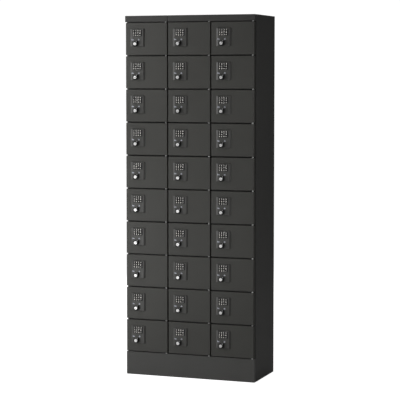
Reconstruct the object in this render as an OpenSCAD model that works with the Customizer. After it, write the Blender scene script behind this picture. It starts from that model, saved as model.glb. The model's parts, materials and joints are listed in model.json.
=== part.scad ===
// Free-standing compartment locker: three columns of ten hinged doors, each with a keypad lock.
// X runs along the width, -Y is the front, Z is up, and the floor is z = 0.

/* [Cabinet] */
// overall width
body_w = 680; // [600:1:760]
// overall height
body_h = 1800; // [1700:1:1900]
// depth from the door faces to the back panel
body_d = 317; // [280:1:500]
// height of the header strip
header_h = 31; // [20:1:80]
// height of the plinth
plinth_h = 117; // [60:1:160]
// how far the plinth face stands behind the door faces
plinth_set = 6.5; // [0:0.5:20]
// thickness of the cabinet sheet
sheet = 1.2; // [0.8:0.1:2]
// thickness of the front frame
frame_t = 1.5; // [1:0.1:3]

/* [Doors] */
// columns of doors
cols = 3; // [2:1:3]
// doors in a column
rows = 10; // [4:1:10]
// gap between two doors in a column
row_gap = 6; // [5:0.5:10]
// gap between two columns of doors
col_gap = 6; // [5:0.5:12]
// gap above the top door and below the bottom one
end_gap = 4; // [3:0.5:8]
// width of frame left beside the outer doors
side_margin = 4; // [2:0.5:12]
// depth of a door's folded pan
door_t = 18; // [15:0.5:19]
// how far the door faces stand in front of the frame
door_proud = 23; // [22:0.5:26]
// bend radius of the folded corners
bend_r = 2; // [1.5:0.5:3]

/* [Hinges] */
// pivot distance from the door's right edge and from its face
hinge_in = 9; // [8:0.5:9.5]
// radius of a hinge pin
pin_r = 2; // [1.5:0.5:3]
// outer radius of a hinge washer
washer_r = 4.2; // [4:0.1:6]

/* [Locks] */
// width of a lock case
case_w = 75.5; // [73:0.5:78]
// height of a lock case
case_h = 88; // [84:1:100]
// how far a lock case stands out of the door
case_t = 6; // [6:0.5:9]
// width of the slope down the left side of a lock case
slope_left = 10.5; // [4:0.5:12]
// width of the slope down the right side of a lock case
slope_right = 5.5; // [3:0.5:9]
// depth of both slopes
slope_t = 4.5; // [2:0.5:5]
// bevel along the top and the bottom of a lock case
case_bevel = 1.5; // [1:0.5:4]
// pitch of the keys
key_pitch = 11.4; // [10.5:0.1:11.7]
// side of a square key
key_side = 8; // [7:0.1:8.2]
// travel of a key
key_travel = 0.8; // [0.4:0.1:0.9]
// radius of a lock knob
knob_r = 13; // [11:0.5:15]
// distance from the knob's axis to the tip of its pointer
knob_tip = 19.5; // [17:0.5:22]
// how far the key plug's face stands out of the door
knob_out = 19; // [18:0.5:26]
// radius of the key plug in the knob
plug_r = 8; // [7:0.5:9]
// length of a locking cam from its axis
cam_len = 46; // [42:1:50]

/* [Fixings] */
// radius of the floor fixing holes
floor_hole_r = 5.5; // [4:0.5:7]
// radius of the wall fixing holes
wall_hole_r = 4.5; // [3:0.5:6]

/* [Hidden] */
$fn = 64;
eps = 0.02;
// the gap that keeps two pieces of one node separate solids
seat = 0.02;
// face planes from front to back
y_face = knob_out - (body_d + knob_out) / 2;
y_body = y_face + door_proud;
y_frame = y_body + frame_t;
y_back = y_face + body_d;
x_side = body_w / 2;
// doors
door_w = (body_w - 2 * side_margin - (cols - 1) * col_gap) / cols;
door_h = (body_h - header_h - plinth_h - 2 * end_gap - (rows - 1) * row_gap) / rows;
hinge_y = y_face + hinge_in;
// overlap of the frame behind a door's lock side, hinge side and ends
lap_lock = 20;
lap_hinge = 16;
lap_end = 8;
// hinge lugs, which are smaller than the washers on them
lug_t = 1.2;
lug_r = 3.8;
// how far a pin reaches into a door or the header, and into the plinth
pin_in = 6;
pin_in_plinth = 3;
// the lock on a door: case centre from the door's left edge and above its middle
case_x = 63.5;
case_up = 6;
// knob axis from the case centre
knob_dx = -8;
knob_dz = -30.5;
// the direction of the knob's pointer when unlocked, and its turn to locked
knob_rest = 50.6;
knob_turn = 180 - 2 * knob_rest;
knob_gap = 0.3;
// knob: length cut off its tip, how far its plug stands proud, and the depth of its stem's bore
tip_cut = 1.5;
plug_up = 0.5;
stem_in = 3;
plug_deep = knob_out - case_t - knob_gap - stem_in - 0.7;
keyway_w = 2;
keyway_h = 8;
keyway_deep = 5;
stem_r = 4;
barrel_r = 9;
barrel_len = 15;
nut_r = 13.8;
nut_back = 4;
// locking cam: gap behind the frame, thickness, width of its arm, radius of its hub
cam_gap = 1;
cam_t = 2;
cam_w = 12;
hub_r = 8;
// keypad: centre of the keys from the case centre, margin around them, and the blank strip
// to their right
keys_dx = -1.1;
keys_dz = 23.1;
pad_edge = 1.2;
pad_strip = 5.9;
pad_w = 3 * key_pitch + key_side + 2 * pad_edge + pad_strip;
pad_h = 2 * key_pitch + key_side + 2 * pad_edge;
pad_dx = keys_dx + pad_strip / 2;
pad_fit = 0.1;
// key tops: how far they stand out, and their place in the grid that holds them
key_out = 1.2;
grid_set = 0.6;
grid_t = 1.4;
key_gap = 0.2;
collar_t = 0.8;
collar_w = 0.5;
pad_deep = grid_set + grid_t + collar_t + key_travel + 1;
// seam of the two header covers, above the first gap between columns
seam_x = -x_side + side_margin + door_w + col_gap / 2;
// fixing patterns
floor_dx = 600;
floor_dy = 230;
wall_dx = 500;
wall_dz = 1450;
base_t = 3;
base_d = 45;

// colours
steel = [0.19, 0.19, 0.185];
steel_door = [0.21, 0.21, 0.2];
plastic = [0.07, 0.07, 0.07];
plastic_key = [0.12, 0.12, 0.12];
silver = [0.8, 0.8, 0.78];
zinc = [0.62, 0.63, 0.65];
nylon = [0.72, 0.72, 0.7];

KEYS = ["1", "2", "3", "4", "5", "6", "7", "8", "9", "0", "clear", "enter"];
function digits(n) = n < 10 ? str("0", n) : str(n);
function door_name(c, r) = str("door_c", c + 1, "_r", digits(r + 1));
function key_name(i) = str("key_", KEYS[i]);

// left edge and bottom edge of a door, counting columns from the left and rows from the top
function door_x(c) = -x_side + side_margin + c * (door_w + col_gap);
function door_z(r) = body_h - header_h - end_gap - (r + 1) * door_h - r * row_gap;
function hinge_x(c) = door_x(c) + door_w - hinge_in;
// middle of the gap below a row
function gap_z(r) = door_z(r) - row_gap / 2;
function bay_left(c) = c == 0 ? -x_side + sheet : door_x(c) - col_gap / 2 + sheet / 2;
function bay_right(c) = c == cols - 1 ? x_side - sheet : bay_left(c + 1) - sheet;
function case_cx(c) = door_x(c) + case_x;
function case_cz(r) = door_z(r) + door_h / 2 + case_up;
function knob_x(c) = case_cx(c) + knob_dx;
function knob_z(r) = case_cz(r) + knob_dz;

module block(x0, x1, y0, y1, z0, z1) {
  translate([x0, y0, z0]) cube([x1 - x0, y1 - y0, z1 - z0]);
}

// a bar along Y from y0 to y1, whose flat shape is drawn with x to the right and y up
module bar_y(x, z, y0, y1) {
  translate([x, y1, z]) rotate([90, 0, 0]) linear_extrude(y1 - y0) children();
}

// a folded pan open to the back, with rounded front corners
module pan(x0, x1, y0, y1, z0, z1) {
  difference() {
    translate([0, 0, z0]) linear_extrude(z1 - z0) union() {
      translate([x0 + bend_r, y0]) square([x1 - x0 - 2 * bend_r, y1 - y0]);
      translate([x0, y0 + bend_r]) square([x1 - x0, y1 - y0 - bend_r]);
      translate([x0 + bend_r, y0 + bend_r]) circle(bend_r);
      translate([x1 - bend_r, y0 + bend_r]) circle(bend_r);
    }
    block(x0 + sheet, x1 - sheet, y0 + sheet, y1 + 1, z0 + sheet, z1 - sheet);
  }
}

// a side panel with its front edge folded inwards; s is -1 for left and 1 for right
module side_panel(s, lip) {
  outer = 3;
  difference() {
    linear_extrude(body_h) union() {
      translate([s > 0 ? x_side - lip : -x_side + outer, y_body])
        square([lip - outer, outer]);
      translate([s > 0 ? x_side - outer : -x_side, y_body + outer])
        square([outer, y_back - sheet - y_body - outer]);
      translate([s * (x_side - outer), y_body + outer]) circle(outer);
    }
    block(
      s > 0 ? x_side - lip - 1 : -x_side + sheet, s > 0 ? x_side - sheet : -x_side + lip + 1,
      y_frame, y_back, -1, body_h + 1
    );
  }
}

module side_panel_left() {
  color(steel) side_panel(-1, side_margin + lap_lock);
}

module side_panel_right() {
  color(steel) side_panel(1, side_margin + lap_hinge);
}

module back_panel() {
  color(steel) difference() {
    block(-x_side, x_side, y_back - sheet, y_back, 0, body_h);
    for (x = [-wall_dx / 2, wall_dx / 2])
      for (z = [body_h / 2 - wall_dz / 2, body_h / 2 + wall_dz / 2])
        bar_y(x, z + 20, y_back - 5, y_back + 5) circle(wall_hole_r);
  }
}

module top_panel() {
  color(steel) block(-x_side + sheet, x_side - sheet, y_frame, y_back - sheet, body_h - sheet, body_h);
}

// the floor of the bottom compartments
module floor_panel() {
  z = plinth_h + end_gap;
  color(steel) block(-x_side + sheet, x_side - sheet, y_frame, y_back - sheet, z - sheet, z);
}

module plinth() {
  color(steel) difference() {
    pan(-x_side, x_side, y_face + plinth_set, y_body, 0, plinth_h);
    for (c = [0:cols - 1])
      translate([hinge_x(c), hinge_y, plinth_h - 5]) cylinder(r = pin_r + 0.01, h = 10);
  }
}

// two angle bars on the floor inside the cabinet, holed for floor anchors
module base_frame() {
  y_mid = (y_frame + y_back - sheet) / 2;
  color(steel) for (s = [-1, 1]) {
    y = y_mid + s * floor_dy / 2;
    w = s > 0 ? y + base_d / 2 - base_t : y - base_d / 2;
    difference() {
      union() {
        block(-x_side + sheet, x_side - sheet, y - base_d / 2, y + base_d / 2, 0, base_t);
        block(-x_side + sheet, x_side - sheet, w, w + base_t, 0, 40);
      }
      for (x = [-floor_dx / 2, floor_dx / 2])
        translate([x, y, -5]) cylinder(r = floor_hole_r, h = 20);
    }
  }
}

module header(x0, x1, first, last) {
  difference() {
    pan(x0, x1, y_face, y_body, body_h - header_h, body_h);
    for (c = [first:last])
      translate([hinge_x(c), hinge_y, body_h - header_h - 5]) cylinder(r = pin_r + 0.01, h = 10);
  }
}

module header_left() {
  color(steel) header(-x_side, seam_x - 0.5, 0, 0);
}

module header_right() {
  color(steel) header(seam_x + 0.5, x_side, 1, cols - 1);
}

// stiles between the columns, rails between the rows, and the hinge lugs welded to them
module front_frame() {
  color(steel) {
    for (c = [0:cols - 2])
      block(door_x(c) + door_w - lap_hinge, door_x(c + 1) + lap_lock, y_body, y_frame, 0, body_h);
    for (c = [0:cols - 1]) {
      x0 = door_x(c) + lap_lock + seat;
      x1 = door_x(c) + door_w - lap_hinge - seat;
      block(x0, x1, y_body, y_frame, door_z(0) + door_h - lap_end, body_h);
      block(x0, x1, y_body, y_frame, plinth_h - 20, door_z(rows - 1) + lap_end);
      for (r = [0:rows - 2]) {
        z = gap_z(r);
        block(x0, x1, y_body, y_frame, z - row_gap / 2 - lap_end, z + row_gap / 2 + lap_end);
        translate([hinge_x(c), hinge_y, z - lug_t / 2]) linear_extrude(lug_t) difference() {
          union() {
            circle(lug_r);
            translate([-lug_r, 0]) square([2 * lug_r, y_body - hinge_y - seat]);
          }
          circle(pin_r + 0.01);
        }
      }
    }
  }
}

// upright sheets between the columns
module dividers() {
  color(steel) for (c = [1:cols - 1]) {
    x = bay_left(c);
    block(x - sheet, x, y_frame, y_back - sheet, plinth_h + end_gap, body_h - sheet);
  }
}

module shelves() {
  color(steel) for (c = [0:cols - 1]) for (r = [0:rows - 2]) {
    z = gap_z(r);
    block(bay_left(c), bay_right(c), y_frame, y_back - sheet, z - sheet / 2, z + sheet / 2);
  }
}

// one pin in every gap above, between and below the doors
module hinge_pins() {
  color(zinc) for (c = [0:cols - 1]) {
    for (r = [0:rows - 2])
      translate([hinge_x(c), hinge_y, gap_z(r) - row_gap / 2 - pin_in])
        cylinder(r = pin_r, h = row_gap + 2 * pin_in);
    translate([hinge_x(c), hinge_y, body_h - header_h - end_gap - pin_in])
      cylinder(r = pin_r, h = end_gap + 2 * pin_in);
    translate([hinge_x(c), hinge_y, plinth_h - pin_in_plinth])
      cylinder(r = pin_r, h = pin_in_plinth + end_gap + pin_in);
  }
}

module washer(x, z0, z1) {
  translate([x, hinge_y, z0]) linear_extrude(z1 - z0) difference() {
    circle(washer_r);
    circle(pin_r + 0.05);
  }
}

module hinge_washers() {
  color(nylon) for (c = [0:cols - 1]) {
    for (r = [0:rows - 2]) {
      washer(hinge_x(c), gap_z(r) + lug_t / 2, gap_z(r) + row_gap / 2 - 0.1);
      washer(hinge_x(c), gap_z(r) - row_gap / 2 + 0.1, gap_z(r) - lug_t / 2);
    }
    washer(hinge_x(c), body_h - header_h - end_gap + 0.1, body_h - header_h);
    washer(hinge_x(c), plinth_h, plinth_h + end_gap - 0.1);
  }
}

// the folded door, bored for its pins and its lock
module door_pan(c, r) {
  x = door_x(c);
  z = door_z(r);
  difference() {
    pan(x, x + door_w, y_face, y_face + door_t, z, z + door_h);
    translate([hinge_x(c), hinge_y, z - 5]) cylinder(r = pin_r + 0.06, h = 10);
    translate([hinge_x(c), hinge_y, z + door_h - 5]) cylinder(r = pin_r + 0.06, h = 10);
    bar_y(knob_x(c), knob_z(r), y_face - 5, y_face + 5) circle(barrel_r + 0.1);
  }
}

// lock case with sloped sides and a keypad window, and the barrel that passes through the door
module case_body(c, r) {
  w = case_w / 2;
  h = case_h / 2;
  wall = case_t - slope_t;
  b = case_bevel;
  difference() {
    union() {
      intersection() {
        translate([case_cx(c), y_face, case_cz(r) - h]) linear_extrude(2 * h) polygon([
          [-w, -seat], [-w, -wall], [slope_left - w, -case_t], [w - slope_right, -case_t],
          [w, -wall], [w, -seat]
        ]);
        translate([case_cx(c) - w, y_face, case_cz(r)]) rotate([90, 0, 90]) linear_extrude(2 * w)
          polygon([
            [-seat, -h], [b - case_t, -h], [-case_t, b - h], [-case_t, h - b], [b - case_t, h], [-seat, h]
          ]);
      }
      bar_y(knob_x(c), knob_z(r), y_face - 1, y_face + barrel_len) circle(barrel_r);
    }
    bar_y(knob_x(c), knob_z(r), y_face - 50, y_face + 50) circle(stem_r + 0.05);
    bar_y(case_cx(c) + pad_dx, case_cz(r) + keys_dz, y_face - 50, y_face - case_t + pad_deep)
      square([pad_w, pad_h], center = true);
  }
}

function key_x(c, i) = case_cx(c) + keys_dx + (i % 4 - 1.5) * key_pitch;
function key_z(r, i) = case_cz(r) + keys_dz + (1 - floor(i / 4)) * key_pitch;

// a plate that fills the keypad window between two depths behind the case's front
module pad_plate(c, r, from, to) {
  y = y_face - case_t;
  bar_y(case_cx(c) + pad_dx, case_cz(r) + keys_dz, y + from, y + to)
    square([pad_w - 2 * pad_fit, pad_h - 2 * pad_fit], center = true);
}

// one-piece rubber keypad whose twelve key tops are moulded in it
module key_mat(c, r) {
  pad_plate(c, r, grid_set, pad_deep - seat);
  for (i = [0:11])
    bar_y(key_x(c, i), key_z(r, i), y_face - case_t - key_out, y_face - case_t + grid_set + eps)
      square(key_side, center = true);
}

// grid of the articulated keypad, with a square hole for every key
module key_grid(c, r) {
  difference() {
    pad_plate(c, r, grid_set, grid_set + grid_t);
    for (i = [0:11])
      bar_y(key_x(c, i), key_z(r, i), y_face - 50, y_face) square(key_side + 2 * key_gap, center = true);
  }
}

// teardrop knob with a seat for its key plug and a bore for its stem
module knob_body(c, r) {
  y0 = y_face - knob_out + plug_up;
  y1 = y_face - case_t - knob_gap;
  a = acos(knob_r / knob_tip);
  difference() {
    bar_y(knob_x(c), knob_z(r), y0, y1) rotate(knob_rest) union() {
      circle(knob_r);
      intersection() {
        polygon([
          [0, 0], [knob_r * cos(a), -knob_r * sin(a)], [knob_tip, 0],
          [knob_r * cos(a), knob_r * sin(a)]
        ]);
        translate([0, -knob_r]) square([knob_tip - tip_cut, 2 * knob_r]);
      }
    }
    bar_y(knob_x(c), knob_z(r), y0 - 1, y_face - knob_out + plug_deep) circle(plug_r + 0.05);
    bar_y(knob_x(c), knob_z(r), y1 - stem_in, y1 + 1) circle(stem_r + 0.01);
  }
}

// key cylinder face with its keyway, which lies along the knob's pointer
module plug_body(c, r) {
  y0 = y_face - knob_out;
  difference() {
    bar_y(knob_x(c), knob_z(r), y0, y0 + plug_deep - 0.1) circle(plug_r);
    bar_y(knob_x(c), knob_z(r), y0 - 1, y0 + keyway_deep) rotate(knob_rest)
      square([keyway_h, keyway_w], center = true);
  }
}

// stem and locking cam; the cam stands up when unlocked and points left when locked
module cam_body(c, r) {
  y0 = y_face - case_t - knob_gap - stem_in + 0.1;
  y1 = y_frame + cam_gap;
  bar_y(knob_x(c), knob_z(r), y0, y1 + cam_t + 2) circle(stem_r);
  bar_y(knob_x(c), knob_z(r), y1, y1 + cam_t) rotate(180 - knob_turn) union() {
    circle(hub_r);
    translate([0, -cam_w / 2]) square([cam_len, cam_w]);
  }
}

module lock_nut(c, r) {
  bar_y(knob_x(c), knob_z(r), y_face + sheet + seat, y_face + nut_back) difference() {
    circle(nut_r, $fn = 6);
    circle(barrel_r + 0.02);
  }
}

// a door with its lock's fixed parts; the first door's lock is made of nodes of its own
module door(c, r) {
  color(steel_door) door_pan(c, r);
  color(zinc) lock_nut(c, r);
  if (c > 0 || r > 0) {
    color(plastic) case_body(c, r);
    color(plastic_key) key_mat(c, r);
    color(plastic) knob_body(c, r);
    color(silver) plug_body(c, r);
    color(zinc) cam_body(c, r);
  }
}

module lock_case() {
  color(plastic) case_body(0, 0);
  color(plastic_key) key_grid(0, 0);
}

module lock_knob() {
  color(plastic) knob_body(0, 0);
}

module lock_plug() {
  color(silver) plug_body(0, 0);
}

module lock_cam() {
  color(zinc) cam_body(0, 0);
}

// a key top with a collar that the grid holds in
module key(i) {
  back = y_face - case_t + grid_set + grid_t + 0.1;
  color(plastic_key) {
    bar_y(key_x(0, i), key_z(0, i), y_face - case_t - key_out, back + eps)
      square(key_side, center = true);
    bar_y(key_x(0, i), key_z(0, i), back, back + collar_t)
      square(key_side + 2 * collar_w, center = true);
  }
}

side_panel_left();
side_panel_right();
back_panel();
top_panel();
floor_panel();
plinth();
base_frame();
header_left();
header_right();
front_frame();
dividers();
shelves();
hinge_pins();
hinge_washers();
lock_case();
lock_knob();
lock_plug();
lock_cam();
for (i = [0:11])
  key(i);
for (c = [0:cols - 1])
  for (r = [0:rows - 1])
    door(c, r);
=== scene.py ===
"""Looks of the compartment locker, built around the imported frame.

Metres, +Z up, and the door faces look along -Y. Every place comes from the boxes of the CAD nodes.
The first door's lock is the pattern for all thirty: its shapes are built once, and the others share them.
"""

import json
import math

import bmesh
import bpy
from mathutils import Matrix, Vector


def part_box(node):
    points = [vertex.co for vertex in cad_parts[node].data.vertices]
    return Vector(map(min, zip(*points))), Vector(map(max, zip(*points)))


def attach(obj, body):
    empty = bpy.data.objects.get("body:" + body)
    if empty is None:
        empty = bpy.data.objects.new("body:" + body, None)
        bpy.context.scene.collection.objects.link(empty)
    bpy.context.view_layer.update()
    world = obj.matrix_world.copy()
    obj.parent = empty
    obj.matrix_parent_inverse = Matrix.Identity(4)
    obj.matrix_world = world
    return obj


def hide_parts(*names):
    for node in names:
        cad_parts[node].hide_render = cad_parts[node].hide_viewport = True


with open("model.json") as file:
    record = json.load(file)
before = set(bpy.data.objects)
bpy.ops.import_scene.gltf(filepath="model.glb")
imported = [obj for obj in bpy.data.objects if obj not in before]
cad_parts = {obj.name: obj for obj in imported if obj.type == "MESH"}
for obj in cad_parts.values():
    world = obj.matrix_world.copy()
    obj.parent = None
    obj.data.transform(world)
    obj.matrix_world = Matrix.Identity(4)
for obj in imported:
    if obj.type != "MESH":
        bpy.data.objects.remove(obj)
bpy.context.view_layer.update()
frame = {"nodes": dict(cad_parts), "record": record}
nodes = frame["nodes"]
behaviour = frame["record"]["behaviour"]
body_of = {n: body for body, members in behaviour["bodies"].items() for n in members}

MM = 0.001
FIRST = "door_c1_r01"
DOORS = sorted(n for n in nodes if n.startswith("door_c"))
KEYS = ["1", "2", "3", "4", "5", "6", "7", "8", "9", "0", "clear", "enter"]

# ---------------------------------------------------------------- places, from the frame

Y_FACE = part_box("header_left")[0].y
DOOR_LO, DOOR_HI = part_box(FIRST)
CASE_LO, CASE_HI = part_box("lock_case")
CASE = (CASE_LO + CASE_HI) / 2
CASE_W = CASE_HI.x - CASE_LO.x
CASE_H = CASE_HI.z - CASE_LO.z
CASE_FRONT = CASE_LO.y
KNOB = sum(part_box("lock_plug"), Vector()) / 2
PLUG_LO, PLUG_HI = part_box("lock_plug")
KNOB_LO, KNOB_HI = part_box("lock_knob")
CAM_LO, CAM_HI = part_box("lock_cam")
KEY_AT = {k: sum(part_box("key_" + k), Vector()) / 2 for k in KEYS}
KEY_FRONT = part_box("key_1")[0].y
KEY_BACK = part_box("key_1")[1].y
PITCH = KEY_AT["2"].x - KEY_AT["1"].x

# ---------------------------------------------------------------- sizes that the boxes don't show

# sheet steel, its folds and its rolled edges
SHEET = 1.2 * MM
FRAME_SHEET = 1.5 * MM
BEND = 2 * MM
CUT_EDGE = 0.25 * MM
PAN_DEEP = 18 * MM
PAN_LIP = 4 * MM
PIN_BORE = 2.05 * MM
RIVET_RISE = 0.5 * MM

# lock case: the slopes down its sides and the bevels at its ends
SLOPE_LEFT = 10.5 * MM
SLOPE_RIGHT = 5.5 * MM
SLOPE_DEEP = 4.5 * MM
CASE_BEVEL = 1.5 * MM

# keypad: a sunk window with a blank strip on its right, the grid in it, and the keys
KEY_SIDE = 8 * MM
PAD_EDGE = 1.2 * MM
PAD_STRIP = 5.9 * MM
PAD_DEEP = 4.6 * MM
PAD_W = KEY_AT["4"].x - KEY_AT["1"].x + KEY_SIDE + 2 * PAD_EDGE + PAD_STRIP
PAD_H = KEY_AT["1"].z - KEY_AT["9"].z + KEY_SIDE + 2 * PAD_EDGE
PAD = (KEY_AT["1"] + KEY_AT["enter"]) / 2 + Vector((PAD_STRIP / 2, 0, 0))
GRID_SET = 0.6 * MM
GRID_THICK = 1.4 * MM
COLLAR = 0.5 * MM
COLLAR_THICK = 0.8 * MM

# printed marks: half their thickness, how far their middle stands out of a face, and the key tops,
# which are set back to leave room for them
PRINT = 0.04 * MM
PRINT_OUT = 0.03 * MM
KEY_TOP = KEY_FRONT + 2 * PRINT

# knob, with its pointer's direction from +X towards +Z
KNOB_R = 13 * MM
KNOB_TIP = 19.5 * MM
TIP_FLAT = 1.5 * MM
POINTER = math.radians(50.6)

# barrel through the door, its nut, and the cam on its stem
BARREL_R = 9 * MM
BARREL_LEN = 15 * MM
STEM_R = 4 * MM
NUT_R = 13.8 * MM
CAM_ANGLE = math.radians(101.2)
CAM_LEN = 46 * MM
CAM_SHEET = 2 * MM


# ---------------------------------------------------------------- reading the CAD nodes


def door_shift(door):
    """How far a door stands from the first one."""
    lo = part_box(door)[0]
    return Vector((lo.x - DOOR_LO.x, 0, lo.z - DOOR_LO.z))


def islands(name):
    """The separate solids of a CAD node, as boxes."""
    bm = bmesh.new()
    bm.from_mesh(nodes[name].data)
    bmesh.ops.remove_doubles(bm, verts=bm.verts, dist=0.001 * MM)
    left = set(bm.verts)
    boxes = []
    while left:
        front = [left.pop()]
        group = list(front)
        while front:
            for edge in front.pop().link_edges:
                for v in edge.verts:
                    if v in left:
                        left.remove(v)
                        front.append(v)
                        group.append(v)
        boxes.append([[f(v.co[i] for v in group) for i in range(3)] for f in (min, max)])
    bm.free()
    return [(Vector(lo), Vector(hi)) for lo, hi in sorted(boxes)]


# ---------------------------------------------------------------- outlines and lofts


def rounded_rect(width, height, radius, corner=6):
    """Outline points (x, z) round the origin, anticlockwise from the right side."""
    points = []
    for quarter, (sx, sz) in enumerate(((1, 1), (-1, 1), (-1, -1), (1, -1))):
        cx, cz = sx * (width / 2 - radius), sz * (height / 2 - radius)
        for k in range(corner + 1):
            a = math.radians(90 * (quarter + k / corner))
            points.append((cx + radius * math.cos(a), cz + radius * math.sin(a)))
    return points


def ring(radius, count):
    """A circle whose points pair with those of a rounded rectangle of the same count."""
    turns = [2 * math.pi * (k + 0.5) / count for k in range(count)]
    return [(radius * math.cos(a), radius * math.sin(a)) for a in turns]


def teardrop(inset, count=72):
    """The knob's outline, drawn in by inset: a circle with a straight-sided pointer, cut off short."""
    # the tip draws in faster than the circle, so that the straight sides stay about parallel
    radius, tip = KNOB_R - inset, KNOB_TIP - 1.6 * inset
    side = math.acos(radius / tip)
    points = []
    for k in range(count):
        a = 2 * math.pi * (k + 0.5) / count
        off = abs((a - POINTER + math.pi) % (2 * math.pi) - math.pi)
        reach = radius / math.cos(max(0, side - off))
        if off < side:
            reach = min(reach, (tip - TIP_FLAT) / math.cos(off))
        points.append((reach * math.cos(a), reach * math.sin(a)))
    return points


def soften(path, radii, steps=3):
    """Rounds the corners of an open path of 2-D points, one radius a corner."""
    out = [Vector(path[0])]
    for a, b, c, radius in zip(path, path[1:], path[2:], radii):
        a, b, c = Vector(a), Vector(b), Vector(c)
        back, on = a - b, c - b
        cut = min(radius / math.tan(back.angle(on) / 2), 0.48 * back.length, 0.48 * on.length)
        start, end = b + back.normalized() * cut, b + on.normalized() * cut
        for k in range(steps + 1):
            t = k / steps
            out.append(start * (1 - t) ** 2 + b * 2 * t * (1 - t) + end * t * t)
    out.append(Vector(path[-1]))
    return out


def turned(outline, angle):
    """An outline turned about its origin."""
    cos, sin = math.cos(angle), math.sin(angle)
    return [(x * cos - z * sin, x * sin + z * cos) for x, z in outline]


def at(outline, y, centre):
    """An outline as 3-D points in the plane y, round centre."""
    return [Vector((centre.x + x, y, centre.z + z)) for x, z in outline]


def stepped_rect(width, height, radius, path, centre, corner=6):
    """Loops of one rounded rectangle, drawn in and moved along Y as the path's pairs say."""
    loops = []
    for inset, y in path:
        r = max(radius - inset, 0.15 * MM)
        loops.append(at(rounded_rect(width - 2 * inset, height - 2 * inset, r, corner), y, centre))
    return loops


def stepped_ring(path, centre, count=48):
    """Loops of circles, from pairs of (radius, y)."""
    return [at(ring(radius, count), y, centre) for radius, y in path]


def bridge(bm, first, second):
    """Quads between two rings of equally many points."""
    for i in range(len(first)):
        j = (i + 1) % len(first)
        bm.faces.new((first[i], first[j], second[j], second[i]))


def loft(bm, loops, closed=False):
    """Joins loops of equally many points with quads. An open loft is capped at both ends."""
    rings = [[bm.verts.new(p) for p in loop] for loop in loops]
    pairs = list(zip(rings, rings[1:]))
    if closed:
        pairs.append((rings[-1], rings[0]))
    else:
        bm.faces.new(rings[0])
        bm.faces.new(rings[-1])
    for first, second in pairs:
        bridge(bm, first, second)


def mesh_of(*builders):
    """The finished mesh of one or more shapes: joined points, clean normals, rounded shading."""
    bm = bmesh.new()
    for build in builders:
        build(bm)
    bmesh.ops.remove_doubles(bm, verts=bm.verts, dist=0.001 * MM)
    bmesh.ops.recalc_face_normals(bm, faces=bm.faces)
    mesh = bpy.data.meshes.new("shape")
    bm.to_mesh(mesh)
    bm.free()
    mesh.polygons.foreach_set("use_smooth", [True] * len(mesh.polygons))
    mesh.set_sharp_from_angle(angle=math.radians(35))
    return mesh


def placed(name, mesh, material, body, replaced=(), shift=Vector()):
    """An object of a mesh, moved by shift, that rides on a body and stands for CAD nodes."""
    piece = bpy.data.objects.new(name, mesh)
    bpy.context.scene.collection.objects.link(piece)
    if not mesh.materials:
        mesh.materials.append(material)
    piece.location = shift
    weighted = piece.modifiers.new("flat faces", "WEIGHTED_NORMAL")
    weighted.keep_sharp = True
    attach(piece, body)
    if replaced:
        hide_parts(*replaced)
    return piece


# ---------------------------------------------------------------- materials


class Shader:
    """A material under construction. add() makes a node and sets or links its inputs."""

    def __init__(self, name):
        self.material = bpy.data.materials.new(name)
        self.material.use_nodes = True
        self.tree = self.material.node_tree
        self.bsdf = self.tree.nodes["Principled BSDF"]

    def add(self, kind, inputs=None, **settings):
        node = self.tree.nodes.new("ShaderNode" + kind)
        for key, value in settings.items():
            setattr(node, key, value)
        self.feed(node, inputs or {})
        return node

    def feed(self, node, inputs):
        for key, value in inputs.items():
            if isinstance(value, bpy.types.NodeSocket):
                self.tree.links.new(value, node.inputs[key])
            else:
                node.inputs[key].default_value = value

    def noise(self, scale, detail=2.0, roughness=0.5):
        place = self.add("TexCoord").outputs["Object"]
        node = self.add(
            "TexNoise",
            {"Vector": place, "Scale": scale, "Detail": detail, "Roughness": roughness},
        )
        return node.outputs["Fac"]

    def ramp(self, fac, low, high, start=0.3, end=0.7):
        node = self.add("ValToRGB", {"Fac": fac})
        for stop, place, colour in zip(node.color_ramp.elements, (start, end), (low, high)):
            stop.position = place
            stop.color = (*colour, 1)
        return node.outputs["Color"]

    def span(self, value, low, high, start=0.3, end=0.7):
        inputs = {"Value": value, "From Min": start, "From Max": end, "To Min": low, "To Max": high}
        return self.add("MapRange", inputs).outputs["Result"]

    def mix(self, fac, first, second, kind="MIX"):
        inputs = {"Fac": fac, "Color1": first, "Color2": second}
        return self.add("MixRGB", inputs, blend_type=kind).outputs["Color"]

    def product(self, first, second):
        return self.add("Math", {0: first, 1: second}, operation="MULTIPLY").outputs["Value"]

    def bump(self, height, depth, strength=1.0, normal=None):
        inputs = {"Height": height, "Distance": depth, "Strength": strength}
        if normal is not None:
            inputs["Normal"] = normal
        return self.add("Bump", inputs).outputs["Normal"]

    def edges(self, radius):
        """From 0 on flat faces to 1 on edges tighter than the radius."""
        soft = self.add("Bevel", {"Radius": radius}, samples=4).outputs["Normal"]
        true = self.add("NewGeometry").outputs["Normal"]
        dot = self.add("VectorMath", {0: soft, 1: true}, operation="DOT_PRODUCT")
        return self.span(dot.outputs["Value"], 1.0, 0.0, 0.9, 0.995)


def tinted(colour, factor):
    return tuple(c * factor for c in colour)


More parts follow.
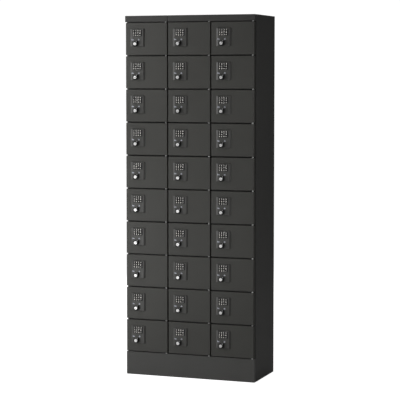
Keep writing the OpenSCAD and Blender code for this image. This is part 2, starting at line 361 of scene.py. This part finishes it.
def powder_coat(name, base, rough):
    """Charcoal powder coat on sheet steel: cloudy tone, orange-peel skin, and edges lightened, partly as a
    thinner worn coat and partly as a painted highlight.
    """
    s = Shader(name)
    cloud = s.noise(4.0, 3.0)
    grain = s.noise(1400.0, 2.0, 0.6)
    skin = s.noise(420.0, 2.0)
    tone = s.ramp(cloud, tinted(base, 0.94), tinted(base, 1.06))
    flecks = s.ramp(grain, (0.88,) * 3, (1.12,) * 3, 0.25, 0.75)
    coat = s.mix(1.0, tone, flecks, "MULTIPLY")
    patchy = s.span(s.noise(60.0, 4.0), 0.15, 0.7)
    # edges 1.7 times lighter where the patchy mask allows: partly a thinner, worn coat, partly a painted
    # highlight along the folds and bends
    wear_and_highlight = s.product(s.edges(1.2 * MM), patchy)
    coat = s.mix(wear_and_highlight, coat, (*tinted(base, 1.7), 1))
    s.feed(s.bsdf, {
        "Base Color": coat,
        "Roughness": s.span(skin, rough - 0.05, rough + 0.05),
        "Normal": s.bump(grain, 0.02 * MM, 0.5, s.bump(skin, 0.05 * MM, 0.35)),
    })
    s.bsdf.inputs["Specular IOR Level"].default_value = 0.4
    return s.material


def moulded(name, base, rough, texture=0.05, shine=0.5):
    """Moulded plastic or rubber with a fine spark-eroded grain, and edges lightened, partly as worn by
    handling and partly as a painted highlight.
    """
    s = Shader(name)
    grain = s.noise(2600.0, 2.0, 0.6)
    cloud = s.noise(45.0, 3.0)
    colour = s.ramp(cloud, tinted(base, 0.9), tinted(base, 1.1))
    # edges 1.6 times lighter in patches: partly worn by handling, partly a painted highlight on the edges
    rubbed_and_highlight = s.product(s.edges(0.5 * MM), s.span(cloud, 0.2, 0.8))
    s.feed(s.bsdf, {
        "Base Color": s.mix(rubbed_and_highlight, colour, (*tinted(base, 1.6), 1)),
        "Roughness": s.span(cloud, rough - 0.06, rough + 0.06),
        "Normal": s.bump(grain, texture * MM, 0.4),
    })
    s.bsdf.inputs["Specular IOR Level"].default_value = shine
    return s.material


def metal(name, base, rough, scratch_scale, scratch_depth):
    """Plated metal with fine turned or rolled scratches and a cloudy gloss."""
    s = Shader(name)
    place = s.add("TexCoord").outputs["Object"]
    stretched = s.add("Mapping", {"Vector": place, "Scale": (1.0, 1.0, 9.0)}).outputs["Vector"]
    fine = s.add("TexNoise", {"Vector": stretched, "Scale": scratch_scale, "Detail": 3.0})
    cloud = s.noise(90.0, 3.0)
    s.feed(s.bsdf, {
        "Base Color": s.ramp(cloud, tinted(base, 0.92), base),
        "Roughness": s.span(cloud, rough - 0.07, rough + 0.07),
        "Normal": s.bump(fine.outputs["Fac"], scratch_depth * MM, 0.4),
    })
    s.bsdf.inputs["Metallic"].default_value = 1.0
    return s.material


def waxy(name, base, rough):
    """Natural plastic that lets some light through."""
    material = moulded(name, base, rough)
    sockets = material.node_tree.nodes["Principled BSDF"].inputs
    sockets["Subsurface Weight"].default_value = 0.7
    sockets["Subsurface Radius"].default_value = (1, 1, 1)
    sockets["Subsurface Scale"].default_value = 4 * MM
    return material


def ink(name, base):
    """Printed marks."""
    s = Shader(name)
    s.bsdf.inputs["Base Color"].default_value = (*base, 1)
    s.bsdf.inputs["Roughness"].default_value = 0.5
    return s.material


CABINET = powder_coat("charcoal cabinet coat", (0.0445, 0.044, 0.0415), 0.55)
# the same charcoal coat as the cabinet, made lighter for the plinth: painted light standing in for the
# light that falls low down
PLINTH_PAINTED_LIGHT_COAT = powder_coat("charcoal plinth coat", (0.07, 0.0695, 0.066), 0.55)
DOOR = powder_coat("charcoal door coat", (0.0515, 0.051, 0.0455), 0.5)
CASE_PLASTIC = moulded("charcoal lock plastic", (0.056, 0.0555, 0.0515), 0.42)
KNOB_PLASTIC = moulded("black knob plastic", (0.01, 0.01, 0.01), 0.35, shine=0.25)
KEY_RUBBER = moulded("dark key rubber", (0.022, 0.022, 0.022), 0.6, shine=0.3)
PLUG_METAL = metal("satin nickel", (0.9, 0.9, 0.89), 0.37, 2500.0, 0.01)
ZINC = metal("zinc plated steel", (0.62, 0.63, 0.66), 0.4, 900.0, 0.02)
NYLON = waxy("natural nylon", (0.92, 0.92, 0.9), 0.4)
DIGIT_INK = ink("warm white print", (0.95, 0.93, 0.88))
ICON_INK = ink("cool white print", (0.48, 0.5, 0.56))
POINTER_INK = ink("grey print", (0.55, 0.55, 0.55))


# ---------------------------------------------------------------- cabinet


def folded_pan(bm, lo, hi, deep, hole=None):
    """A folded sheet pan, open at the back; hole is the centre of a round hole in its face."""
    centre = (lo + hi) / 2
    path = soften(
        [
            (PAN_LIP, lo.y), (0, lo.y), (0, lo.y + deep), (SHEET, lo.y + deep),
            (SHEET, lo.y + SHEET), (PAN_LIP, lo.y + SHEET),
        ],
        [BEND, CUT_EDGE, CUT_EDGE, BEND - SHEET],
        4,
    )
    loops = stepped_rect(hi.x - lo.x, hi.z - lo.z, BEND + 0.4 * MM, path, centre)
    if hole:
        rim = ring(BARREL_R + 0.1 * MM, len(loops[0]))
        loops = [at(rim, lo.y, hole)] + loops + [at(rim, lo.y + SHEET, hole)]
    loft(bm, loops, closed=hole is not None)


def front_covers():
    """The two header covers and the plinth: folded pans like the doors."""
    for name in ("header_left", "header_right", "plinth"):
        lo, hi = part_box(name)
        cover = mesh_of(lambda bm: folded_pan(bm, lo, hi, hi.y - lo.y))
        # the plinth takes the lightened copy of the cabinet coat, which is painted light for its brighter
        # lighting
        coat = PLINTH_PAINTED_LIGHT_COAT if name == "plinth" else CABINET
        placed(name + "_cover", cover, coat, body_of[name], [name])


def side_skin(name, s):
    """A side panel with its front edge folded round to the frame; s is -1 for left, 1 for right."""
    lo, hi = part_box(name)
    outer = hi.x if s > 0 else lo.x
    inner = lo.x if s > 0 else hi.x
    radius = 3 * MM
    path = soften(
        [
            (inner, lo.y), (outer, lo.y), (outer, hi.y), (outer - s * SHEET, hi.y),
            (outer - s * SHEET, lo.y + FRAME_SHEET), (inner, lo.y + FRAME_SHEET),
        ],
        [radius, 0.2 * MM, 0.2 * MM, radius - FRAME_SHEET],
        5,
    )
    ease = 0.3 * MM
    loops = []
    for z, inset in ((lo.z, ease), (lo.z + ease, 0), (hi.z - ease, 0), (hi.z, ease)):
        inward = [s * inset if abs(x - outer) < 0.1 * MM else 0 for x, y in path]
        loops.append([Vector((x - move, y, z)) for (x, y), move in zip(path, inward)])
    skin = mesh_of(lambda bm: loft(bm, loops))
    placed(name + "_skin", skin, CABINET, body_of[name], [name])


def top_sheet():
    """The top panel, with its edges rolled so that its seams show."""
    lo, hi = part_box("top_panel")
    centre = (lo + hi) / 2
    edge = [(3 * MM, hi.z), (0, hi.z), (0, lo.z), (3 * MM, lo.z)]
    loops = []
    for inset, z in soften(edge, [0.8 * MM, 0.1 * MM]):
        outline = rounded_rect(hi.x - lo.x - 2 * inset, hi.y - lo.y - 2 * inset, 0.3 * MM, 2)
        loops.append([Vector((centre.x + x, centre.y + y, z)) for x, y in outline])
    sheet = mesh_of(lambda bm: loft(bm, loops))
    placed("top_panel_sheet", sheet, CABINET, body_of["top_panel"], ["top_panel"])


def wall_holes():
    """The four wall fixing holes of the CAD back panel, as (x, z, radius)."""
    lo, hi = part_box("back_panel")
    rim = 10 * MM
    found = {}
    for v in nodes["back_panel"].data.vertices:
        if lo.x + rim < v.co.x < hi.x - rim and lo.z + rim < v.co.z < hi.z - rim:
            found.setdefault((v.co.x > 0, v.co.z > (lo.z + hi.z) / 2), []).append(v.co)
    holes = []
    for points in found.values():
        xs, zs = [p.x for p in points], [p.z for p in points]
        holes.append(((min(xs) + max(xs)) / 2, (min(zs) + max(zs)) / 2, (max(xs) - min(xs)) / 2))
    return holes


def back_sheet():
    """The back panel with rolled edges and its wall holes."""
    lo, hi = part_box("back_panel")
    centre = (lo + hi) / 2
    roll = 0.25 * MM
    curve = bpy.data.curves.new("back", "CURVE")
    curve.dimensions = "2D"
    curve.fill_mode = "BOTH"
    curve.extrude = (hi.y - lo.y - RIVET_RISE) / 2 - roll
    curve.bevel_depth = roll
    curve.bevel_resolution = 2
    outlines = [rounded_rect(hi.x - lo.x - 2 * roll, hi.z - lo.z - 2 * roll, 1.5 * MM)]
    for x, z, radius in wall_holes():
        outlines.append([(x - centre.x + dx, z - centre.z + dz) for dx, dz in ring(radius + roll, 40)])
    for outline in outlines:
        spline = curve.splines.new("POLY")
        spline.points.add(len(outline) - 1)
        spline.use_cyclic_u = True
        for point, (x, z) in zip(spline.points, outline):
            point.co = (x, z, 0, 1)
    points, faces = solid_of(curve)
    y = (lo.y + hi.y - RIVET_RISE) / 2
    moved = [Vector((centre.x + p.x, y - p.z, centre.z + p.y)) for p in points]
    sheet = mesh_of(lambda bm: add_faces(bm, moved, faces))
    placed("back_panel_sheet", sheet, CABINET, body_of["back_panel"], ["back_panel"])


def rivets(bm):
    """The rivets that hold the shelves to the back: three to a shelf in each column of doors."""
    lo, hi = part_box("back_panel")
    dome = soften([(3 * MM, 0), (3 * MM, 0.5 * RIVET_RISE), (0.8 * MM, RIVET_RISE)], [0.8 * MM], 3)
    shelf_z = sorted({round((a.z + b.z) / 2, 4) for a, b in islands("shelves")})
    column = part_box("door_c2_r01")[0].x - DOOR_LO.x
    for c in range(3):
        for share in (0.12, 0.5, 0.88):
            x = DOOR_LO.x + c * column + share * (DOOR_HI.x - DOOR_LO.x)
            for z in shelf_z:
                place = Vector((x, 0, z))
                loft(bm, [at(ring(r, 20), hi.y - RIVET_RISE + rise, place) for r, rise in dome])


def cabinet():
    front_covers()
    side_skin("side_panel_left", -1)
    side_skin("side_panel_right", 1)
    top_sheet()
    back_sheet()
    heads = mesh_of(rivets)
    placed("back_rivets", heads, CABINET, body_of["back_panel"], ["back_panel"])
    for name in ("floor_panel", "base_frame", "front_frame", "dividers", "shelves"):
        nodes[name].data.materials.clear()
        nodes[name].data.materials.append(CABINET)


# ---------------------------------------------------------------- hinges


def upright_ring(bm, path, centre, count=32, closed=False):
    """A turned part on a vertical axis, from pairs of (radius, z)."""
    loops = [[Vector((centre.x + x, centre.y + y, z)) for x, y in ring(r, count)] for r, z in path]
    loft(bm, loops, closed)


def washer_rings(bm):
    """Nylon washers with rounded rims."""
    for lo, hi in islands("hinge_washers"):
        r = (hi.x - lo.x) / 2
        rim = [(PIN_BORE, lo.z), (r, lo.z), (r, hi.z), (PIN_BORE, hi.z)]
        upright_ring(bm, soften(rim, [0.4 * MM] * 2, 2), (lo + hi) / 2, closed=True)


def pin_rods(bm):
    """Hinge pins with chamfered ends."""
    for lo, hi in islands("hinge_pins"):
        r = (hi.x - lo.x) / 2
        rod = [(0.8 * r, lo.z), (r, lo.z + 0.3 * MM), (r, hi.z - 0.3 * MM), (0.8 * r, hi.z)]
        upright_ring(bm, rod, (lo + hi) / 2, 20)


def hinges():
    body = body_of["hinge_pins"]
    placed("hinge_washer_rings", mesh_of(washer_rings), NYLON, body, ["hinge_washers"])
    placed("hinge_pin_rods", mesh_of(pin_rods), ZINC, body, ["hinge_pins"])


# ---------------------------------------------------------------- locks


def case_loop(inset, y):
    """The case's outline at one depth: its sides slope in, and its ends are bevelled at the front."""
    lip = max(inset - SLOPE_LEFT, 0)
    left = min(inset, SLOPE_LEFT) + lip
    right = min(inset, SLOPE_LEFT) * SLOPE_RIGHT / SLOPE_LEFT + lip
    ends = max(CASE_BEVEL - (y - CASE_FRONT), 0) + lip
    outline = rounded_rect(CASE_W - left - right, CASE_H - 2 * ends, 2.2 * MM)
    return at(outline, y, CASE + Vector(((left - right) / 2, 0, 0)))


def lock_case_shape(bm):
    """Lock case with sloped sides and a sunk keypad window, and the threaded barrel behind it."""
    foot = CASE_FRONT + SLOPE_DEEP
    side = [(0, Y_FACE), (0, foot), (SLOPE_LEFT, CASE_FRONT), (SLOPE_LEFT + 1.2 * MM, CASE_FRONT)]
    steps = 6
    path = soften(side, [0.8 * MM, 7 * MM], steps)
    # one more loop between the two corners, where the bevels of the ends begin
    bevel_inset = SLOPE_LEFT * (1 - CASE_BEVEL / SLOPE_DEEP)
    path.insert(steps + 2, Vector((bevel_inset, CASE_FRONT + CASE_BEVEL)))
    loops = [case_loop(inset, y) for inset, y in path]
    bottom = CASE_FRONT + PAD_DEEP
    wall = [(-1.2 * MM, CASE_FRONT), (0, CASE_FRONT), (0, bottom), (2 * MM, bottom)]
    well = soften(wall, [0.5 * MM, 0.5 * MM])
    loops += stepped_rect(PAD_W, PAD_H, 1.5 * MM, well, PAD)
    loft(bm, loops)
    barrel = [(BARREL_R - 0.5 * MM, Y_FACE + BARREL_LEN)]
    # a thread of 1 mm pitch, down to the door
    for k in range(13):
        y = Y_FACE + BARREL_LEN - (0.4 + k) * MM
        barrel += [(BARREL_R, y), (BARREL_R - 0.35 * MM, y - 0.5 * MM)]
    barrel.append((BARREL_R, Y_FACE - 1 * MM))
    loft(bm, stepped_ring(barrel, KNOB, 36))


def key_grid_shape(bm):
    """The plate between the keys: one holed cell round each key, merged into one sheet."""
    y0, y1 = CASE_FRONT + GRID_SET, CASE_FRONT + GRID_SET + GRID_THICK
    middle = KEY_AT["1"].x - PAD.x + 1.5 * PITCH
    half_w, half_h = PAD_W / 2 - 0.1 * MM, PAD_H / 2 - 0.1 * MM
    xs = [-half_w, middle - PITCH, middle, middle + PITCH, half_w]
    zs = [half_h, PITCH / 2, -PITCH / 2, -half_h]
    corner = 3
    for i, key in enumerate(KEYS):
        row, column = divmod(i, 4)
        left, right = xs[column : column + 2]
        high, low = zs[row : row + 2]
        corners = ((right, high), (left, high), (left, low), (right, low))
        cell = [point for point in corners for _ in range(corner + 1)]
        hole = rounded_rect(KEY_SIDE + 0.4 * MM, KEY_SIDE + 0.4 * MM, 1.3 * MM, corner)
        places = ((cell, y0, PAD), (hole, y0, KEY_AT[key]), (hole, y1, KEY_AT[key]), (cell, y1, PAD))
        rings = [[bm.verts.new(p) for p in at(*place)] for place in places]
        for first, second in zip(rings, rings[1:]):
            bridge(bm, first, second)


def key_shape(bm, key):
    """A square rubber key with a soft top edge and a collar behind the grid."""
    collar = KEY_BACK - COLLAR_THICK
    path = soften(
        [
            (3 * MM, KEY_TOP), (0, KEY_TOP), (0, collar), (-COLLAR, collar),
            (-COLLAR, KEY_BACK), (1 * MM, KEY_BACK),
        ],
        [0.6 * MM, 0.1 * MM, 0.1 * MM, 0.1 * MM],
        3,
    )
    loft(bm, stepped_rect(KEY_SIDE, KEY_SIDE, 1.2 * MM, path, KEY_AT[key], 3))


def knob_shape(bm):
    """Teardrop knob with a rounded crown and a sunk seat for the key plug."""
    front, rear = KNOB_LO.y, KNOB_HI.y
    seat_r = (PLUG_HI.x - PLUG_LO.x) / 2 + 0.05 * MM
    path = soften(
        [
            (0.8 * MM, rear), (0, rear), (0, rear - 2.5 * MM), (0.9 * MM, rear - 3.2 * MM),
            (0.6 * MM, front), (2.2 * MM, front),
        ],
        [0.3 * MM, 0.5 * MM, 0.4 * MM, 1.3 * MM],
    )
    loops = [at(teardrop(inset), y, KNOB) for inset, y in path]
    seat = [(seat_r + 0.6 * MM, front), (seat_r, front + 0.5 * MM), (seat_r, PLUG_HI.y + 0.1 * MM)]
    loops += stepped_ring(seat, KNOB, len(loops[0]))
    loft(bm, loops)


def plug_shape(bm):
    """Key plug: a chamfered disc, a turned groove and the keyway, which lies along the pointer."""
    r = (PLUG_HI.x - PLUG_LO.x) / 2
    y = PLUG_LO.y
    groove = 0.35 * MM
    disc = [
        (r, PLUG_HI.y), (r, y + 0.5 * MM), (r - 0.5 * MM, y), (r - 1.4 * MM, y), (r - 1.6 * MM, y + groove),
        (r - 1.9 * MM, y + groove), (r - 2.1 * MM, y), (5.2 * MM, y),
    ]
    keyway = []
    for widen, depth in ((0.25 * MM, y), (0, y + 0.25 * MM), (0, y + 5 * MM)):
        slot = turned(rounded_rect(8 * MM + 2 * widen, 2 * MM + 2 * widen, 0.6 * MM), POINTER)
        # the slot's points start at the pointer, and those of the circles at +X
        skip = round(len(slot) * POINTER / (2 * math.pi))
        keyway.append(at(slot[-skip:] + slot[:-skip], depth, KNOB))
    loft(bm, stepped_ring(disc, KNOB, len(keyway[0])) + keyway)


def cam_outline(inset):
    """The cam plate's outline, drawn in by inset: a straight arm with a rounded end and a round hub."""
    half, end, hub = 6 * MM - inset, CAM_LEN - inset, 8 * MM - inset
    tip, sweep = 4 * MM, math.radians(70)
    outline = []
    for k in range(7):
        a = sweep * (k / 3 - 1)
        outline.append((end - tip + tip * math.cos(a), half * math.sin(a) / math.sin(sweep)))
    start = math.asin(half / hub)
    for k in range(25):
        a = start + (2 * math.pi - 2 * start) * k / 24
        outline.append((hub * math.cos(a), hub * math.sin(a)))
    return turned(outline, CAM_ANGLE)


def cam_shape(bm):
    """Stem with its screw head, and the locking cam plate with a rounded end."""
    plate_y = CAM_HI.y - 4 * MM
    stem = soften(
        [
            (3 * MM, CAM_LO.y), (STEM_R, CAM_LO.y), (STEM_R, CAM_HI.y), (1.4 * MM, CAM_HI.y),
            (1.2 * MM, CAM_HI.y - 1 * MM),
        ],
        [0.3 * MM, 0.4 * MM, 0.1 * MM],
    )
    loft(bm, stepped_ring(stem, KNOB, 32))
    rear = plate_y + CAM_SHEET
    edge = [(2 * MM, plate_y), (0, plate_y), (0, rear), (2 * MM, rear)]
    loft(bm, [at(cam_outline(inset), y, KNOB) for inset, y in soften(edge, [0.3 * MM] * 2, 2)])


def nut_shape(bm):
    """Hexagonal nut with chamfered corners that holds the barrel in the door."""
    y0, y1 = Y_FACE + SHEET, Y_FACE + 4 * MM
    chamfer = 0.4 * MM
    turned_r = NUT_R - 2 * chamfer
    flat = NUT_R * math.cos(math.pi / 6)
    angles = [math.radians(10 * k + 5) for k in range(36)]
    loops = []
    for r, y in ((turned_r, y0), (NUT_R, y0 + chamfer), (NUT_R, y1 - chamfer), (turned_r, y1)):
        reach = [min(r, flat / math.cos(a % (math.pi / 3) - math.pi / 6)) for a in angles]
        loops.append(at([(q * math.cos(a), q * math.sin(a)) for q, a in zip(reach, angles)], y, KNOB))
    bore = BARREL_R + 0.02 * MM
    loops += [at(ring(bore, 36), y1, KNOB), at(ring(bore, 36), y0, KNOB)]
    loft(bm, loops, closed=True)


# ---------------------------------------------------------------- printed marks


def solid_of(curve):
    """The points and faces of a curve's filled solid; the curve is used up."""
    carrier = bpy.data.objects.new("carrier", curve)
    bpy.context.scene.collection.objects.link(carrier)
    depsgraph = bpy.context.evaluated_depsgraph_get()
    mesh = bpy.data.meshes.new_from_object(carrier.evaluated_get(depsgraph))
    points = [v.co.copy() for v in mesh.vertices]
    faces = [tuple(p.vertices) for p in mesh.polygons]
    bpy.data.objects.remove(carrier)
    bpy.data.meshes.remove(mesh)
    bpy.data.curves.remove(curve)
    return points, faces


def glyph(text, size, centre, y, offset=0.0):
    """A digit as a thin solid facing -Y, as (points, faces)."""
    curve = bpy.data.curves.new("glyph", "FONT")
    curve.body = text
    curve.size = size
    curve.offset = offset
    curve.extrude = PRINT
    curve.resolution_u = 3
    points, faces = solid_of(curve)
    mid_x = (min(p.x for p in points) + max(p.x for p in points)) / 2
    mid_y = (min(p.y for p in points) + max(p.y for p in points)) / 2
    moved = [Vector((centre.x + p.x - mid_x, y - p.z, centre.z + p.y - mid_y)) for p in points]
    return moved, faces


def add_faces(bm, points, faces):
    verts = [bm.verts.new(p) for p in points]
    for face in faces:
        bm.faces.new([verts[i] for i in face])


def stroke(bm, points, width, y, centre):
    """A printed line of even width through points (x, z), mitred at its corners, as a thin plate."""
    spots = [Vector(p) for p in points]
    runs = [(b - a).normalized() for a, b in zip(spots, spots[1:])]
    spots[0] -= runs[0] * width / 2
    spots[-1] += runs[-1] * width / 2
    sections = []
    for k, spot in enumerate(spots):
        before, after = runs[max(k - 1, 0)], runs[min(k, len(runs) - 1)]
        mean = (before + after).normalized()
        side = Vector((-mean.y, mean.x)) * width / 2 / mean.dot(after)
        edges = [tuple(spot - side), tuple(spot + side)]
        sections.append(at(edges, y - PRINT, centre) + at(edges[::-1], y + PRINT, centre))
    loft(bm, sections)


def key_mark(bm, key):
    """The digit on a key; a cross on the clear key and a tick on the enter key."""
    y = KEY_TOP - PRINT_OUT
    if key == "clear":
        for s in (-1, 1):
            line = [(-2.1 * MM, -2.1 * s * MM), (2.1 * MM, 2.1 * s * MM)]
            stroke(bm, line, 1.4 * MM, y + 0.01 * s * MM, KEY_AT[key])
    elif key == "enter":
        line = [(-2.3 * MM, 0), (-0.7 * MM, -1.7 * MM), (2.4 * MM, 2 * MM)]
        stroke(bm, line, 1.4 * MM, y, KEY_AT[key])
    else:
        add_faces(bm, *glyph(key, 9 * MM, KEY_AT[key], y, 0.36 * MM))


def padlock(bm, angle, width, shackle_shift):
    """A printed padlock beside the knob: a rounded body under an arched shackle."""
    reach = 25.4 * MM
    centre = KNOB + Vector((reach * math.cos(angle), 0, reach * math.sin(angle)))
    y = CASE_FRONT - PRINT_OUT
    body = rounded_rect(width, 4.6 * MM, 1 * MM, 3)
    loft(bm, [at(body, y - PRINT, centre), at(body, y + PRINT, centre)])
    arch = []
    for k in range(9):
        a = math.pi * k / 8
        arch.append((shackle_shift + 2.2 * MM * math.cos(a), 2.9 * MM + 1.7 * MM * math.sin(a)))
    stroke(bm, arch, 1.1 * MM, y, centre)


def padlocks(bm):
    padlock(bm, POINTER, 8 * MM, 0)
    padlock(bm, math.pi - POINTER, 11 * MM, -3.4 * MM)


def pointer_mark(bm):
    """The line on the knob's pointer."""
    line = [(r * math.cos(POINTER), r * math.sin(POINTER)) for r in (11.6 * MM, 15.6 * MM)]
    stroke(bm, line, 1.9 * MM, KNOB_LO.y + 0.02 * MM, KNOB)


# ---------------------------------------------------------------- doors with their locks


def all_keys(bm):
    for key in KEYS:
        key_shape(bm, key)


def all_key_marks(bm):
    for key in KEYS:
        key_mark(bm, key)


def locks():
    """Every lock; the first has its moving pieces apart, and the others are one piece a material."""
    case = mesh_of(lock_case_shape)
    icons = mesh_of(padlocks)
    knob = mesh_of(knob_shape)
    pointer = mesh_of(pointer_mark)
    plug = mesh_of(plug_shape)
    pad_and_keys = mesh_of(key_grid_shape, all_keys)
    digits = mesh_of(all_key_marks)
    latch = mesh_of(nut_shape, cam_shape)
    for door in DOORS:
        body = body_of[door]
        tag = door.replace("door", "")
        shift = door_shift(door)
        first = door == FIRST
        case_node, knob_node, plug_node = ("lock_case", "lock_knob", "lock_plug") if first else [door] * 3
        turns, key_turns = body_of[knob_node], body_of[plug_node]
        placed("lock_case" + tag, case, CASE_PLASTIC, body, [case_node], shift)
        placed("padlock_marks" + tag, icons, ICON_INK, body, [case_node], shift)
        placed("knob" + tag, knob, KNOB_PLASTIC, turns, [knob_node], shift)
        placed("knob_pointer" + tag, pointer, POINTER_INK, turns, [knob_node], shift)
        placed("key_plug" + tag, plug, PLUG_METAL, key_turns, [plug_node], shift)
        if not first:
            placed("keypad" + tag, pad_and_keys, KEY_RUBBER, body, [door], shift)
            placed("key_marks" + tag, digits, DIGIT_INK, body, [door], shift)
            placed("latch" + tag, latch, ZINC, body, [door], shift)
    first_lock()


def first_lock():
    """The pieces that the top left door's lock has apart from the others'."""
    tag = FIRST.replace("door", "")
    body = body_of[FIRST]
    placed("key_grid" + tag, mesh_of(key_grid_shape), KEY_RUBBER, body, ["lock_case"])
    placed("lock_nut" + tag, mesh_of(nut_shape), ZINC, body, [FIRST])
    placed("lock_cam" + tag, mesh_of(cam_shape), ZINC, body_of["lock_cam"], ["lock_cam"])
    for key in KEYS:
        node = "key_" + key
        cap = mesh_of(lambda bm: key_shape(bm, key))
        mark = mesh_of(lambda bm: key_mark(bm, key))
        placed("keycap_" + key, cap, KEY_RUBBER, body_of[node], [node])
        placed("keymark_" + key, mark, DIGIT_INK, body_of[node], [node])


def door_panels():
    """The thirty folded doors, each bored for its lock."""
    for door in DOORS:
        lo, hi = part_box(door)
        front = Vector((lo.x, Y_FACE, lo.z))
        rear = Vector((hi.x, Y_FACE + PAN_DEEP, hi.z))
        barrel_at = KNOB + door_shift(door)
        panel = mesh_of(lambda bm: folded_pan(bm, front, rear, PAN_DEEP, barrel_at))
        placed(door.replace("door", "door_panel"), panel, DOOR, body_of[door], [door])


# ---------------------------------------------------------------- studio


def stage_floor():
    """A wide pale floor that stays almost white where the camera sees it."""
    bm = bmesh.new()
    bmesh.ops.create_circle(bm, cap_ends=True, segments=96, radius=45)
    mesh = bpy.data.meshes.new("studio_floor")
    bm.to_mesh(mesh)
    bm.free()
    floor = bpy.data.objects.new("studio_floor", mesh)
    bpy.context.scene.collection.objects.link(floor)
    s = Shader("pale floor")
    seen = s.add("LightPath").outputs["Is Camera Ray"]
    matt = s.add("BsdfDiffuse", {"Color": (0.7, 0.7, 0.7, 1)})
    glow = s.add("Emission", {"Color": (1, 1, 1, 1), "Strength": 0.95})
    both = s.add("AddShader", {0: matt.outputs[0], 1: glow.outputs[0]})
    choice = s.add("MixShader", {0: seen, 1: matt.outputs[0], 2: both.outputs[0]})
    s.feed(s.tree.nodes["Material Output"], {"Surface": choice.outputs[0]})
    s.tree.nodes.remove(s.bsdf)
    mesh.materials.append(s.material)


def area_light(name, place, aim, width, height, watts):
    data = bpy.data.lights.new(name, "AREA")
    data.shape = "RECTANGLE"
    data.size, data.size_y = width, height
    data.energy = watts
    lamp = bpy.data.objects.new(name, data)
    bpy.context.scene.collection.objects.link(lamp)
    lamp.location = place
    lamp.rotation_euler = (Vector(aim) - Vector(place)).to_track_quat("-Z", "Z").to_euler()
    lamp.visible_camera = False


def studio():
    """White backdrop for the camera, dim grey fill for the object, and soft lights."""
    world = bpy.data.worlds.new("studio")
    bpy.context.scene.world = world
    world.use_nodes = True
    tree = world.node_tree
    tree.nodes.clear()
    seen = tree.nodes.new("ShaderNodeLightPath").outputs["Is Camera Ray"]
    output = tree.nodes.new("ShaderNodeOutputWorld")
    choice = tree.nodes.new("ShaderNodeMixShader")
    tree.links.new(seen, choice.inputs[0])
    for socket, strength in ((1, 0.105), (2, 1.05)):
        ground = tree.nodes.new("ShaderNodeBackground")
        ground.inputs["Color"].default_value = (1, 1, 1, 1)
        ground.inputs["Strength"].default_value = strength
        tree.links.new(ground.outputs[0], choice.inputs[socket])
    tree.links.new(choice.outputs[0], output.inputs["Surface"])
    area_light("key_low", (-1.3, -1.25, 0.25), (-0.05, -0.15, 0.15), 1.4, 0.75, 7.8)
    area_light("key_high", (-1.3, -1.25, 1.95), (-0.05, -0.15, 1.85), 1.4, 0.75, 13)
    area_light("grazing", (-2.1, -1.1, 1.0), (0, -0.15, 1.05), 0.5, 2.4, 10.5)
    area_light("front", (-1.45, -4.0, 1.3), (0, -0.15, 0.9), 2.4, 2.4, 5)
    area_light("low", (-1.4, -2.4, 0.15), (0, -0.15, 0.06), 1.6, 0.25, 5)
    area_light("top", (0, -0.8, 3.4), (0, 0, 0.9), 2.5, 2.5, 1)
    area_light("edge", (1.7, -1.1, 1.1), (0.3, -0.1, 1.0), 0.12, 2.2, 7)
    area_light("side", (3.2, 0.6, 1.2), (0.3, 0, 0.9), 1.5, 2.2, 1.5)
    area_light("behind", (-1.8, 3.0, 1.8), (0, 0.1, 0.9), 2.0, 2.0, 45)


def camera():
    """The photograph's viewing angle, worked out from the straight edges of the doors and the plinth."""
    data = bpy.data.cameras.new("camera")
    data.lens = 136.762
    data.sensor_width = 36
    data.clip_end = 200
    eye = bpy.data.objects.new("camera", data)
    bpy.context.scene.collection.objects.link(eye)
    eye.location = (2.6287, -7.1502, 1.4973)
    eye.rotation_euler = (math.radians(90 - 4.626), 0, math.radians(20.169))
    bpy.context.scene.camera = eye


# ---------------------------------------------------------------- build

camera()
studio()
stage_floor()
cabinet()
hinges()
door_panels()
locks()

view = bpy.context.scene.view_settings
view.view_transform = "Standard"
view.look = "None"
